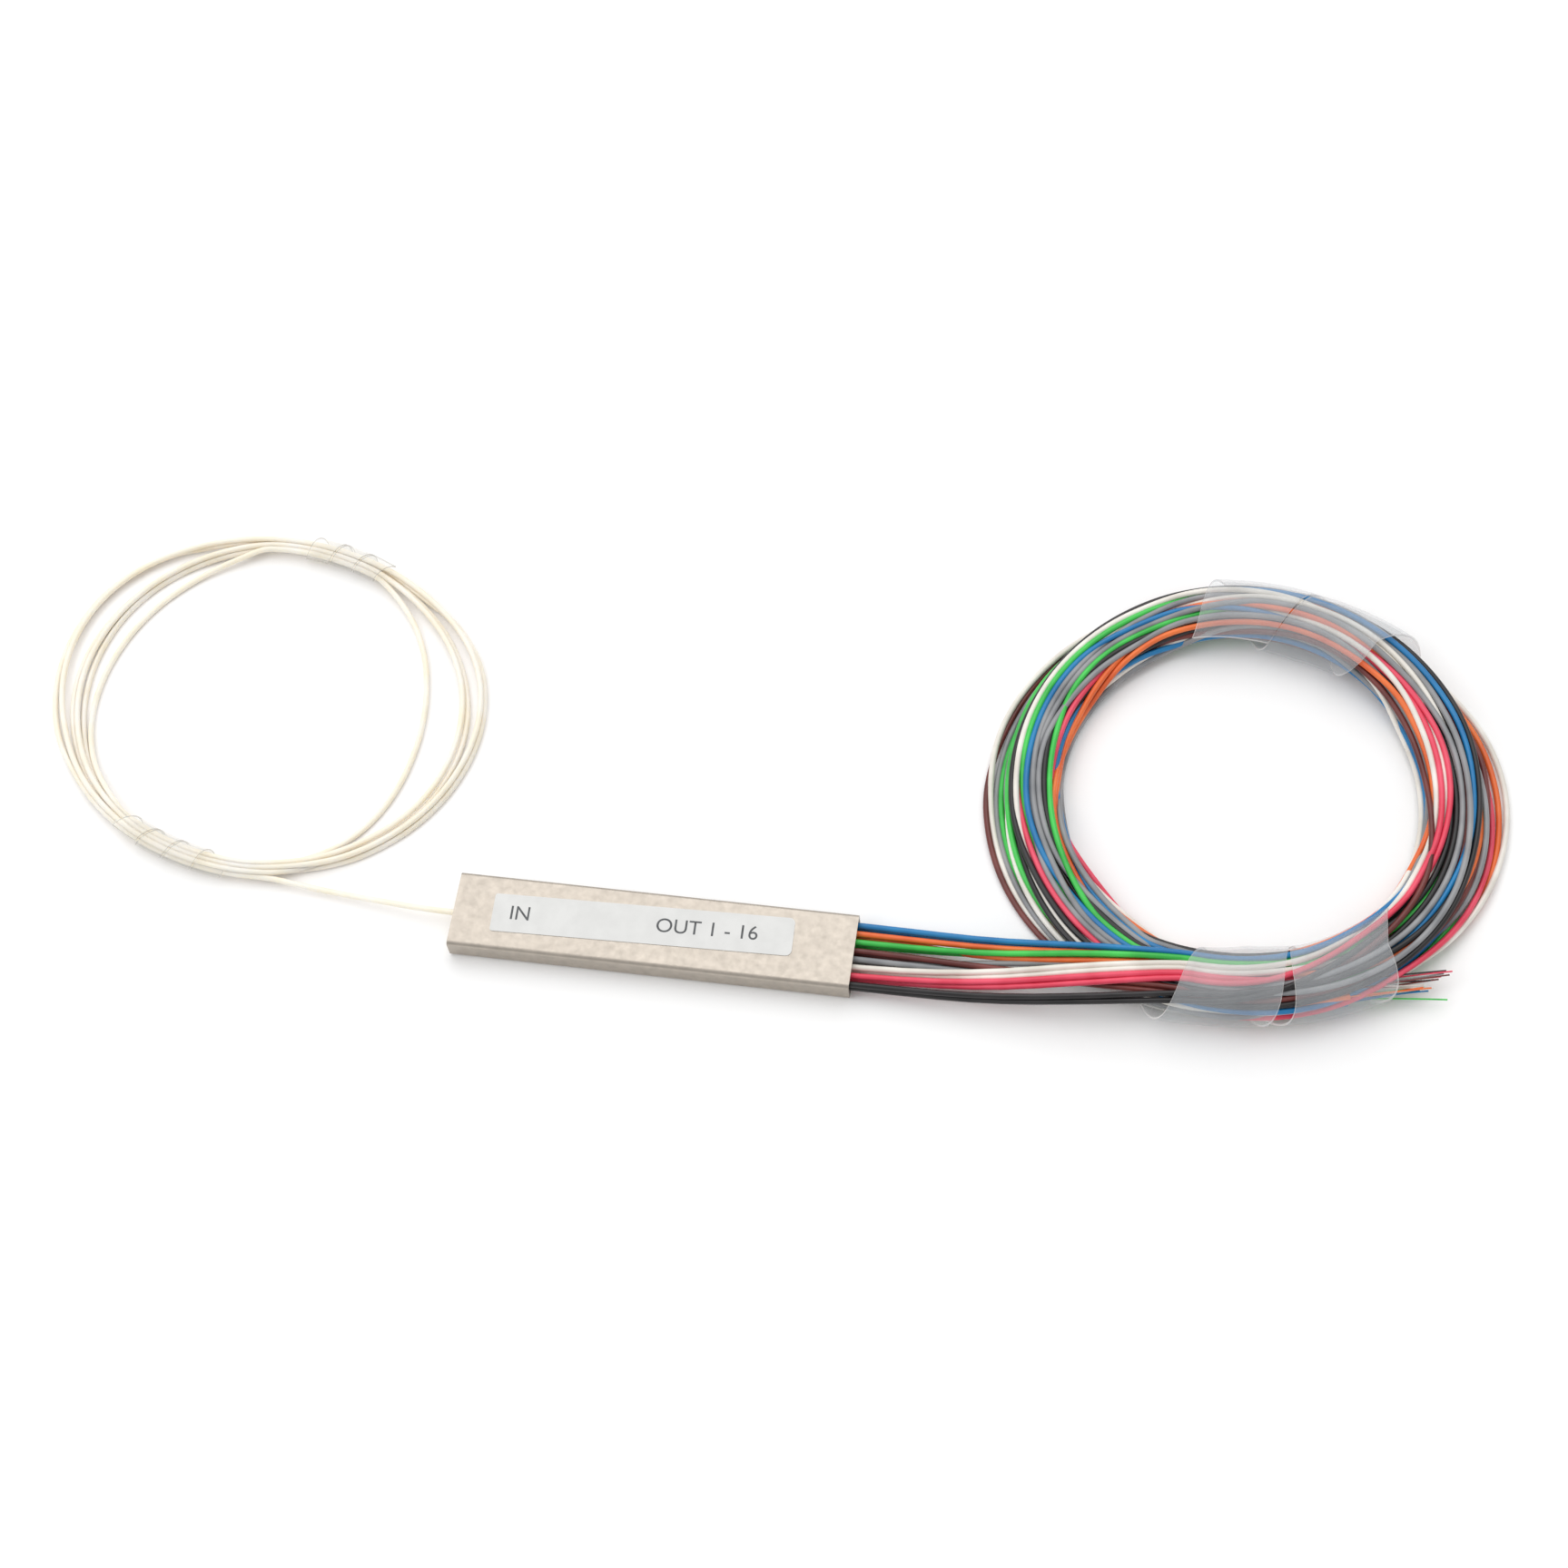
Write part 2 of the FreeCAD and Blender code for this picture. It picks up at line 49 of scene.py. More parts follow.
TUBE_DIAMETER = 0.9
FIBRE_DIAMETER = 0.25
PER_TURN = 60
STEP = 360 / PER_TURN
OUTPUTS = 16
COLOURS = 8


# ---------------------------------------------------------------- camera

def look(place, right, down, forward, lens):
    """A camera that stands at place, with its own three directions given."""
    camera = bpy.data.cameras.new("camera")
    camera.lens, camera.sensor_width = lens, 36
    camera.clip_start, camera.clip_end = 0.01, 20
    held = bpy.data.objects.new("camera", camera)
    turned = Matrix((right, [-c for c in down], [-c for c in forward])).transposed()
    held.matrix_world = Matrix.Translation(Vector(place) * MM) @ turned.to_4x4()
    bpy.context.scene.collection.objects.link(held)
    bpy.context.scene.camera = held


bpy.context.scene.view_settings.view_transform = "Standard"
# It stands in front of the steel tube and looks down on it, about 62 degrees from level.
look(
    place=(69.018, -168.419, 380.115),
    right=(0.98706102, 0.14717847, -0.06363209),
    down=(0.10070738, -0.8778426, -0.46824181),
    forward=(-0.12477407, 0.45577502, -0.88130617),
    lens=65.0,
)


# ---------------------------------------------------------------- materials

def hex_colour(code):
    """Linear colour from an sRGB hex value."""
    parts = [int(code[i:i + 2], 16) / 255 for i in (1, 3, 5)]
    return [c / 12.92 if c <= 0.04045 else ((c + 0.055) / 1.055) ** 2.4 for c in parts] + [1]


def add(material, kind, inputs=None, **settings):
    """Adds a node. An input is a value, or the output of another node."""
    node = material.node_tree.nodes.new(kind)
    for name, value in settings.items():
        setattr(node, name, value)
    for name, value in (inputs or {}).items():
        if isinstance(value, bpy.types.NodeSocket):
            material.node_tree.links.new(value, node.inputs[name])
        else:
            node.inputs[name].default_value = value
    return node


def new_material(name):
    material = bpy.data.materials.new(name)
    material.use_nodes = True
    shader = material.node_tree.nodes["Principled BSDF"]
    return material, shader


def mottled(material, place, grain_mm, dark, light, detail=2.0, low=0.35, high=0.65):
    """A colour that wanders between two shades in patches of about grain_mm."""
    noise = add(material, "ShaderNodeTexNoise",
                {"Vector": place, "Scale": 1000 / grain_mm, "Detail": detail})
    ramp = add(material, "ShaderNodeValToRGB", {"Fac": noise.outputs["Fac"]})
    ramp.color_ramp.elements[0].position, ramp.color_ramp.elements[0].color = low, hex_colour(dark)
    ramp.color_ramp.elements[1].position, ramp.color_ramp.elements[1].color = high, hex_colour(light)
    return ramp.outputs["Color"]


def uneven(material, place, grain_mm, smooth, rough, detail=2.0):
    """A roughness that wanders between two values."""
    noise = add(material, "ShaderNodeTexNoise",
                {"Vector": place, "Scale": 1000 / grain_mm, "Detail": detail})
    spread = add(material, "ShaderNodeMapRange",
                 {"Value": noise.outputs["Fac"], "From Min": 0.3, "From Max": 0.7,
                  "To Min": smooth, "To Max": rough})
    return spread.outputs["Result"]


def relief(material, shader, place, grain_mm, depth_mm, detail=2.0):
    noise = add(material, "ShaderNodeTexNoise",
                {"Vector": place, "Scale": 1000 / grain_mm, "Detail": detail})
    bump = add(material, "ShaderNodeBump",
               {"Height": noise.outputs["Fac"], "Distance": depth_mm * MM, "Strength": 0.6})
    material.node_tree.links.new(bump.outputs["Normal"], shader.inputs["Normal"])


def object_place(material):
    return add(material, "ShaderNodeTexCoord").outputs["Object"]


def moulded(name, dark, light, smooth=0.3, rough=0.42, grain_mm=6.0, ior=1.5, alpha=1.0,
            soft=0.0):
    """Extruded thermoplastic: an even colour with a satin skin that is never quite flat."""
    material, shader = new_material(name)
    place = object_place(material)
    link = material.node_tree.links.new
    link(mottled(material, place, grain_mm, dark, light), shader.inputs["Base Color"])
    link(uneven(material, place, grain_mm / 2, smooth, rough), shader.inputs["Roughness"])
    relief(material, shader, place, 0.6, 0.012)
    shader.inputs["IOR"].default_value = ior
    shader.inputs["Alpha"].default_value = alpha
    shader.inputs["Subsurface Weight"].default_value = soft
    shader.inputs["Subsurface Scale"].default_value = 0.0012
    shader.inputs["Subsurface Radius"].default_value = (1.0, 0.9, 0.75)
    return material


# Loose tube of polyester elastomer, extruded and dyed right through: it shines softly along
# its top, and its colour is deep and even.
TUBE_COLOURS = [
    ("blue", "#0d6ea8", "#1a81bb"),
    ("orange", "#e0602a", "#f47c3c"),
    ("green", "#2fae42", "#46cf56"),
    ("brown", "#5a221f", "#783833"),
    ("slate", "#7d7f82", "#9a9b9d"),
    ("white", "#dcd6cc", "#f2eee6"),
    ("red", "#de3a54", "#f0546e"),
    ("black", "#121112", "#262325"),
]
tube_finish = {
    name: moulded("polyester_tube_" + name, dark, light) for name, dark, light in TUBE_COLOURS
}

# The same tube undyed: ivory, and a little light passes through it where it is thin.
tube_finish["ivory"] = moulded("polyester_tube_natural", "#f8ebd6", "#fdf3e6", 0.42, 0.55,
                               soft=0.6)

# Acrylate coating on bare fibre: a dyed lacquer, thin, hard and glossy.
fibre_finish = {
    name: moulded("acrylate_fibre_coating_" + name, dark, light, 0.12, 0.2, 3.0)
    for name, dark, light in TUBE_COLOURS
}


def stainless_steel():
    """Drawn stainless tube, tumbled: bright, with soft broad reflections and a fine mottle."""
    material, shader = new_material("tumbled_stainless_steel")
    place = object_place(material)
    link = material.node_tree.links.new
    link(mottled(material, place, 1.1, "#aca49a", "#bdb4a9", 6.0, 0.2, 0.8),
         shader.inputs["Base Color"])
    link(uneven(material, place, 0.9, 0.34, 0.48, 4.0), shader.inputs["Roughness"])
    relief(material, shader, place, 0.7, 0.01, 4.0)
    shader.inputs["Metallic"].default_value = 1.0
    return material


def label_vinyl():
    """Printed vinyl film: matt, cool white, with a trace of paper-like tooth."""
    material, shader = new_material("matt_vinyl_film")
    place = object_place(material)
    link = material.node_tree.links.new
    link(mottled(material, place, 2.5, "#d8d8d6", "#dededc", 3.0), shader.inputs["Base Color"])
    link(uneven(material, place, 1.2, 0.5, 0.62), shader.inputs["Roughness"])
    relief(material, shader, place, 0.35, 0.006)
    return material


def polyethylene(name, dark, light, smooth, rough, alpha):
    """Spiral wrap slit from blown polyethylene tube: milky, waxy and soft at its cut edges."""
    material, shader = new_material(name)
    place = object_place(material)
    link = material.node_tree.links.new
    link(mottled(material, place, 5.0, dark, light), shader.inputs["Base Color"])
    link(uneven(material, place, 2.5, smooth, rough), shader.inputs["Roughness"])
    relief(material, shader, place, 3.0, 0.02)
    shader.inputs["IOR"].default_value = 1.51
    shader.inputs["Alpha"].default_value = alpha
    return material


steel = stainless_steel()
vinyl = label_vinyl()
# The frosted wrap's light grey is partly the film's own milky tint and partly painted shade: it greys the
# film where only the floor shows through, as the shade under the wrap would.
frosted_wrap_and_painted_shade = polyethylene("frosted_polyethylene_wrap_and_painted_shade", "#d3d7db", "#dce0e3", 0.36, 0.48, 0.18)
frosted_cut = polyethylene("frosted_polyethylene_cut_edge", "#e8e6e4", "#f4f2f0", 0.3, 0.4, 0.6)
clear_wrap = polyethylene("clear_polyethylene_wrap", "#eeece6", "#f6f4ee", 0.1, 0.18, 0.15)
clear_cut = polyethylene("clear_polyethylene_cut_edge", "#bcbab2", "#cac8c0", 0.15, 0.25, 0.6)
resin = moulded("potting_epoxy_resin", "#d8cdb8", "#e6dcc8", 0.25, 0.4, 3.0, 1.55)
silicone = moulded("silicone_rubber", "#e4e4e2", "#f0f0ee", 0.4, 0.55, 3.0, 1.41)
silica = moulded("fused_silica_chip", "#c6d2d6", "#d6e0e3", 0.05, 0.12, 4.0, 1.46)
glass = moulded("borosilicate_glass_block", "#d0dcd8", "#e0eae6", 0.05, 0.12, 4.0, 1.47)
coating = moulded("acrylate_fibre_coating_clear", "#e8e2d4", "#f2eee2", 0.15, 0.25, 3.0)
ink = moulded("black_transfer_print", "#3a3c3e", "#55585a", 0.4, 0.5, 1.0)


# ---------------------------------------------------------------- places round a coil

INPUT_MIDDLE = (-67.1, 32.4)
OUTPUT_MIDDLE = (83.6, 32.7)


def round_coil(middle, radius, angle, height):
    """The point at a radius, an angle and a height round a coil's middle."""
    way = math.radians(angle)
    return (middle[0] + radius * math.cos(way), middle[1] + radius * math.sin(way), height)


def eased(angle, points):
    """A value between the given (angle, value) points, which run all round the coil."""
    ring = sorted((a % 360, v) for a, v in points)
    ring = [(ring[-1][0] - 360, ring[-1][1])] + ring + [(ring[0][0] + 360, ring[0][1])]
    return float(np.interp(angle % 360, [a for a, v in ring], [v for a, v in ring]))


# How the tubes make room for each other: how strongly the one meant to lie higher goes over,
# how strongly either one does by lot, and over how many stations to each side it is judged.
MEANT_LIFT = 0.5
LOT_LIFT = 0.2
JUDGED = 7
# They sort out who goes over in the first part of the rounds, and later only where two tubes
# lie nearer than this share of a diameter.
SORTING_PART = 0.65
DEEP = 0.7
# Each tube's share in undoing an overlap in a round, the largest move in it, how far each
# place is then drawn to the line between its neighbours, and how much of its hold it keeps
# in the later rounds.
PUSH = 0.42
LARGEST_MOVE = 0.3
SMOOTHING = 0.5
LATE_HOLD = 0.5
# How steeply a loose heap falls away at its two sides.
HEAP_FALL = 1.6
HEAP_POWER = 8


def settled(wanted, hold, sections, rounds, weight=0.02):
    """Tubes round a coil, moved off each other until each has its own room.

    wanted holds (radius, height) for each tube at each station, hold how firmly each place
    is kept, and sections the coil's inner and outer radius, lowest and highest point at each
    station, and how far it is wrapped: 0 is a loose heap, 1 a round bundle.
    """
    cords, count = wanted.shape[:2]
    turns = -(-count // PER_TURN)
    inner, outer, low, high, wrapped = np.array(sections).T
    middle, half = (inner + outer) / 2, (outer - inner) / 2 - TUBE_DIAMETER / 2
    level, rise = (low + high) / 2, (high - low) / 2 - TUBE_DIAMETER / 2

    def by_station(values):
        spread = np.full((cords, turns * PER_TURN, 2), np.nan)
        spread[:, :count] = values
        return spread.reshape(cords * turns, PER_TURN, 2).transpose(1, 0, 2)

    # Where two tubes cross, the one meant to lie higher goes over, or else either one.
    meant = by_station(wanted)[..., 1]
    lower = np.nan_to_num(meant[:, :, None] - meant[:, None])
    above = sum(np.roll(lower, shift, axis=0) for shift in range(-JUDGED, JUDGED + 1))
    above = above / (2 * JUDGED + 1)
    lot = np.random.default_rng(4).permutation(cords * turns)
    above = MEANT_LIFT * np.clip(3 * above, -1, 1) + LOT_LIFT * np.sign(lot[:, None] - lot[None])
    place = wanted.copy()
    for done in range(rounds):
        early = done < SORTING_PART * rounds
        spread = by_station(place)
        gap = spread[:, :, None] - spread[:, None]
        apart = np.sqrt((gap ** 2).sum(-1))
        close = (apart < TUBE_DIAMETER) & ~np.eye(cords * turns, dtype=bool)
        gap[..., 1] += above * (early | (apart < DEEP * TUBE_DIAMETER))
        reach = np.sqrt((gap ** 2).sum(-1)) + 1e-6
        push = np.where(close, (TUBE_DIAMETER - apart) / reach, 0)
        move = np.nansum(push[..., None] * gap, axis=2) * PUSH
        move = np.clip(move, -LARGEST_MOVE, LARGEST_MOVE)
        place += move.transpose(1, 0, 2).reshape(cords, -1, 2)[:, :count]
        even = (place[:, :-2] + place[:, 2:]) / 2
        place[:, 1:-1] += SMOOTHING * (even - place[:, 1:-1])
        place += (1 if early else LATE_HOLD) * hold * (wanted - place)
        place[..., 1] -= weight * (1 - wrapped)
        across, up = (place[..., 0] - middle) / half, (place[..., 1] - level) / rise
        over = np.maximum(np.hypot(across, up), 1)
        side = np.clip(across, -1, 1)
        heaped = np.clip(up, -1, 1 - HEAP_FALL * side ** HEAP_POWER)
        place[..., 0] = middle + half * (wrapped * across / over + (1 - wrapped) * side)
        place[..., 1] = level + rise * (wrapped * up / over + (1 - wrapped) * heaped)
    return place


# ---------------------------------------------------------------- cords

def cord_curve(name, points, diameter, material, sides=4, steps=3):
    """A round cord on one smooth line that follows its points."""
    line = bpy.data.curves.new(name, "CURVE")
    line.dimensions = "3D"
    spline = line.splines.new("NURBS")
    spline.points.add(len(points) - 1)
    for spot, place in zip(spline.points, points):
        spot.co = (*(c * MM for c in place), 1)
    spline.order_u = 3
    spline.use_endpoint_u = True
    line.resolution_u = steps
    line.bevel_depth = diameter * MM / 2
    line.bevel_resolution = sides
    line.use_fill_caps = True
    line.materials.append(material)
    cord = bpy.data.objects.new(name, line)
    bpy.context.scene.collection.objects.link(cord)
    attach(cord, "root")
    return cord


# --- the input tube: straight out, then five and a half loose turns, clockwise

INPUT_ROUTE = [(-25, 0, 2), (-33.2, 0, 2), (-41.5, 0.8, 1.4), (-49.5, 1.6, 0.85), (-56, 2.3, 1.1)]
INPUT_FIRST = -76.0
INPUT_STATIONS = 335
INPUT_ROUNDS = 160
INPUT_WEIGHT = 0.01
# The coil reaches in from its outer edge by the first where it is loose, and by the second
# where it is tied. Loose strands may stray past the edge a little.
INPUT_LOOSE_WIDTH = 12.3
INPUT_TIED_WIDTH = 3.0
INPUT_STRAY = 1.2
INPUT_LOOSE_HEIGHT = 1.9
INPUT_TIED_LIFT = 0.5
INPUT_TIED_RISE = 0.8
# The third and the fourth turn lie on the others.
INPUT_UPPER_TURNS = (2, 3)
INPUT_HOLD = 0.2
INPUT_FIRST_HOLD = 0.5


def input_outer(angle):
    """Outer edge of the input coil, an oval leaning to the right at its top."""
    turned = math.radians(angle + 17.0)
    return 1 / math.hypot(math.cos(turned) / 36.1, math.sin(turned) / 29.8)


# How far each turn lies in from the outer edge, by degrees travelled since the first place.
TRAVELLED = [0, 18, 52, 74, 89, 104, 119, 134, 149, 164, 179, 194, 224, 239, 254, 269, 284, 299,
             314, 329, 344]
INPUT_TURNS = [
    [0.1, 0.1, 0.3, 0.2, -0.1, 0.0, -0.2, -1.1, -1.0, -0.7, 0.0, 0.0, 0.0, -0.2, -1.0, -0.9, 0.5,
     1.7, 2.0, 2.1, 1.1],
    [1.2, 1.3, 1.4, 1.8, 2.8, 3.1, 3.8, 3.8, 2.9, 1.5, 1.1, 1.2, 1.1, 1.4, 1.9, 2.5, 2.8, 3.4,
     3.2, 3.3, 2.5],
    [0.6, 0.7, 0.9, 1.0, 1.9, 1.2, 0.4, -0.4, -0.3, 0.2, 0.6, 0.5, 0.5, 0.3, -0.4, -0.3, 0.8, 2.3,
     2.6, 2.7, 1.8],
    [1.8, 1.9, 2.0, 2.4, 3.6, 4.2, 4.7, 4.3, 3.3, 2.2, 1.8, 1.7, 1.7, 2.0, 2.4, 2.9, 3.8, 4.3,
     3.9, 4.1, 3.0],
    [2.4, 2.3, 2.4, 3.2, 5.3, 7.3, 8.5, 8.1, 6.8, 4.8, 3.0, 2.6, 2.5, 3.9, 6.3, 8.8, 10.4, 10.6,
     8.9, 5.9, 3.5],
    [2.4, 2.2, 2.2, 2.8, 4.4, 5.3, 5.6, 4.8, 3.7, 2.6, 2.4, 2.1],
]
# Where the two ties hold the coil together, by angle: 0 is loose, 1 tied.
INPUT_TIED = [(-160, 0), (-132, 1), (-80, 1), (-52, 0), (40, 0), (58, 1), (104, 1), (128, 0)]


def input_places():
    """The turns of the input tube, as radius and height at each station."""
    angles = [INPUT_FIRST - STEP * station for station in range(INPUT_STATIONS)]
    way, inward = [], []
    for turn, offsets in enumerate(INPUT_TURNS):
        way += [360 * turn + t for t in TRAVELLED[:len(offsets)]]
        inward += offsets
    sections, wanted = [], []
    over = 0.85 * TUBE_DIAMETER
    for station, angle in enumerate(angles):
        tied = eased(angle, INPUT_TIED)
        edge = input_outer(angle)
        offset = float(np.interp(STEP * station, way, inward))
        inner = edge - (INPUT_LOOSE_WIDTH + tied * (INPUT_TIED_WIDTH - INPUT_LOOSE_WIDTH))
        outer = edge + INPUT_STRAY * (1 - tied)
        low = INPUT_TIED_LIFT * tied
        high = low + INPUT_LOOSE_HEIGHT + INPUT_TIED_RISE * tied
        sections.append((inner, outer, low, high, tied))
        rests_on = over if station // PER_TURN in INPUT_UPPER_TURNS else 0
        wanted.append((edge - TUBE_DIAMETER / 2 - offset,
                       low + TUBE_DIAMETER / 2 + 0.5 * tied + rests_on * (1 - tied)))
    hold = np.full((1, INPUT_STATIONS, 2), INPUT_HOLD)
    hold[:, :3] = INPUT_FIRST_HOLD
    places = settled(np.array([wanted]), hold, sections, INPUT_ROUNDS, INPUT_WEIGHT)
    return angles, places[0]


angles, places = input_places()
input_tube = cord_curve(
    "input_tube",
    INPUT_ROUTE + [round_coil(INPUT_MIDDLE, radius, angle, height)
                   for angle, (radius, height) in zip(angles, places)],
    TUBE_DIAMETER, tube_finish["ivory"])
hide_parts("input_lead", "input_coil")


# --- the sixteen output tubes: side by side up on to the coil, then four turns each

TURNS = 4
OUTPUT_FIRST = -96.0
OUTPUT_STATIONS = TURNS * PER_TURN + 7
OUTPUT_ROUNDS = 420
COLOUR_NAMES = [name for name, dark, light in TUBE_COLOURS]

# In the end plug they stand in two layers of eight columns, about the plug's middle.
COLUMN_PITCH = 9.5 / 7
LAYER_PITCH = 1.1
PLUG_MIDDLE = 2.0
PLUG_ALONG = (25.0, 35.0)

# Each tube's way from the plug on to the coil: (across, up) at four stations along, the
# last of them inside the lower wrap as (radius, height).
LEADS_ALONG = (50.0, 64.0, 77.0)
LEADS_INSIDE = -80.0
LEADS = [
    ((3.50, 3.4), (3.50, 5.3), (3.80, 5.4), (28.2, 5.6)),
    ((3.70, 4.4), (3.95, 6.2), (4.30, 6.4), (28.6, 6.6)),
    ((1.30, 3.4), (1.90, 5.5), (2.90, 5.7), (30.0, 6.4)),
    ((2.75, 3.9), (3.15, 5.6), (3.60, 5.6), (28.9, 4.9)),
    ((1.90, 3.3), (2.60, 5.3), (3.10, 5.0), (29.3, 6.1)),
    ((1.60, 4.4), (2.75, 6.3), (3.50, 6.5), (29.4, 7.1)),
    ((-0.60, 3.2), (-1.60, 4.8), (-1.60, 5.2), (34.0, 6.0)),
    ((-0.45, 4.1), (-0.80, 5.1), (-0.90, 5.8), (34.9, 6.3)),
    ((0.75, 3.3), (1.50, 4.9), (2.30, 4.9), (30.0, 5.5)),
    ((-1.10, 3.4), (-0.90, 4.6), (-0.35, 4.9), (32.5, 6.5)),
    ((-2.15, 3.9), (0.05, 5.9), (2.00, 6.4), (31.0, 7.4)),
    ((-1.35, 4.3), (0.90, 6.1), (2.65, 6.5), (30.2, 7.4)),
    ((-3.50, 3.7), (-1.80, 5.8), (0.45, 6.4), (32.7, 7.3)),
    ((-2.90, 4.3), (-0.90, 6.2), (1.20, 6.5), (31.9, 7.5)),
    ((-5.30, 3.0), (-4.45, 5.0), (-2.70, 5.3), (34.2, 6.8)),
    ((-4.90, 3.8), (-3.90, 5.7), (-1.85, 5.9), (33.5, 7.1)),
]

# Outer and inner edge of the coil, its lowest and highest point and where it is wrapped.
OUTER_EDGE = [(-104, 37.2), (-122, 37.6), (-140, 38.1), (-155, 38.3), (180, 38.3), (150, 37.7),
              (125, 36.7), (112, 35.9), (50, 35.9), (38, 38.4), (25, 39.4), (8, 40.3),
              (-12, 40.0), (-28, 39.3), (-42, 37.4), (-50, 37.2)]
INNER_EDGE = [(-104, 27.0), (-128, 24.9), (-146, 24.9), (-160, 25.5), (180, 26.3), (130, 26.4),
              (112, 26.9), (50, 26.9), (35, 26.5), (0, 26.4), (-30, 26.6), (-42, 27.0)]
LOW_EDGE = [(-120, 0), (-104, 0.45), (-42, 0.45), (-28, 0), (34, 0), (50, 0.45), (106, 0.45),
            (122, 0)]
HIGH_EDGE = [(-140, 5.2), (-132, 4.1), (-112, 4.3), (-104, 6.5), (-98, 8.35), (-55, 8.35),
             (-40, 7.2), (-22, 5.2), (34, 5.4), (50, 7.55), (106, 7.55), (122, 5.4)]
WRAPPED = [(-120, 0), (-104, 1), (-42, 1), (-26, 0), (32, 0), (50, 1), (106, 1), (124, 0)]

# The tubes on top of the coil at places round it: where the heap beneath them begins and
# ends, then from the outer edge inwards each one's colour and distance from the coil's
# middle, and a height for each one that doesn't just lie on those beneath it.
ON_TOP = [
    (-48, 27.6, 35.6, "green 36.5 2.6, white 36.6 3.5, red 36.2 4.5, slate 35.5, orange 34.8, blue 34.0,"
          "black 33.2, slate 32.4, black 31.6, brown 30.8, black 30.0, black 29.2, red 28.4"),
    (-25, 27.5, 36.6, "orange 38.8 0.5, white 38.1 1.2, red 37.5 1.9, slate 36.8, blue 36.1, black 35.4,"
          "slate 34.8, black 34.3, brown 33.6, slate 32.8, black 31.9, black 31.1, brown 30.2,"
          "red 29.4, white 28.5, slate 27.9, white 27.3"),
    (5, 27.3, 37.1, "white 39.8 0.5, orange 38.4 0.6, red 37.5, brown 36.5, slate 35.7, green 34.9,"
        "blue 34.1, slate 33.4, brown 32.8, slate 32.2, black 31.6, red 30.8, white 30.1,"
        "red 29.3, orange 28.5, brown 27.9, white 27.1"),
    (24, 27.5, 37.0, "white 38.9 0.5, orange 38.0 0.5, brown 37.4, slate 36.8, black 36.2, blue 35.4,"
         "slate 34.6, slate 33.8, slate 32.9, white 32.3, red 31.4, white 30.6, red 29.7,"
         "orange 28.8, brown 28.1, white 27.3"),
    (46, 27.6, 34.8, "black 35.0 5.4, slate 34.5, blue 34.0, slate 33.3, white 32.6, white 31.8,"
         "orange 30.9, slate 30.2, white 29.5, slate 28.8, orange 28.1, blue 27.3"),
    (78, 27.6, 34.8, "orange 33.4, white 32.5, slate 31.8, green 31.2, orange 30.5, blue 29.7, slate 28.9,"
         "slate 28.1"),
    (110, 27.6, 34.8, "orange 35.0, white 34.3, green 33.5, slate 32.8, brown 32.2, orange 31.6, blue 30.9,"
          "slate 30.1, slate 29.4, black 28.8, orange 28.2, blue 27.5"),
    (145, 27.6, 35.2, "white 36.8 1.3, brown 36.3, slate 35.6, green 34.7, slate 34.0, brown 33.4,"
          "blue 32.6, slate 31.7, green 30.6, slate 29.7, orange 28.8 3.4, red 28.1 2.6,"
          "orange 27.4 1.6"),
    (172, 27.7, 34.9, "white 38.0 0.5, brown 37.1 0.5, slate 36.2 0.5, slate 34.8, slate 34.0, white 33.3,"
          "green 32.5, blue 31.7, slate 30.9, slate 30.0, green 29.1, red 28.4, blue 27.7 4.4"),
    (188, 27.2, 34.9, "brown 38.0 1.2, white 37.5 0.5, slate 36.7 0.5, slate 35.2, green 34.5, white 33.8,"
          "black 33.2, red 32.6, green 31.9, slate 31.1, brown 30.3, slate 29.5, green 28.6,"
          "slate 27.8, blue 27.1 4.2, blue 31.0 1.4"),
    (210, 26.6, 35.3, "brown 37.7 0.5, white 36.9 0.5, slate 36.3, green 35.7, white 35.0, red 34.3,"
          "black 33.6, black 32.9, slate 32.1, blue 31.3, slate 30.5, slate 29.8, green 28.8,"
          "orange 28.0, blue 27.2 3.6, white 26.4 2.4"),
    (226, 26.6, 35.8, "brown 37.2, white 36.5, white 35.8, red 35.2, black 34.5, black 33.8, slate 33.1,"
          "brown 32.6, slate 32.0, slate 31.0, green 29.6, black 28.9, blue 28.1 3.6,"
          "orange 27.2 3.0, white 26.3 2.4, red 25.5 1.6"),
    (280, 27.6, 36.0, "red 36.4 2.4, slate 36.6 3.3, orange 36.4 4.2, blue 36.0 5.0, black 35.4 5.7"),
]

# How far each row lies above the one beneath it, and where the one beneath the first would
# lie. Every other row is set inwards by a stagger.
ROW_RISE = 0.78
UNDER_FIRST = -0.3
ROW_STAGGER = 0.4
# A loose heap's rows are shorter the higher they lie, more so at its outer side.
INNER_SLOPE = 0.2
OUTER_SLOPE = 0.4
# Lively colours lie over their neighbours by this much, every other time.
LIVELY_RISE = 0.35
DARK_COLOURS = ("slate", "black", "brown")
# How firmly a tube is held to its radius and to its height: beneath the others, on top of
# them, and on top at a given height.
HELD_BENEATH = (0.02, 0.07)
HELD_ON_TOP = (0.12, 0.03)
HELD_AT_HEIGHT = (0.25, 0.25)
# The same where it comes in from its lead, just inside the coil, and at its end.
HELD_AT_LEAD = (0.6, 0.6)
HELD_INSIDE = (0.2, 0.2)
HELD_AT_TAIL = (0.5, 0.5)
# A tube lies on those beneath it that are no further than this to either side.
BESIDE = 0.75
# How far each tube wanders in and out on its way, and in how many waves a turn.
WANDER = 0.08
WANDER_WAVES = (0.7, 1.3, 2.1, 3.4)


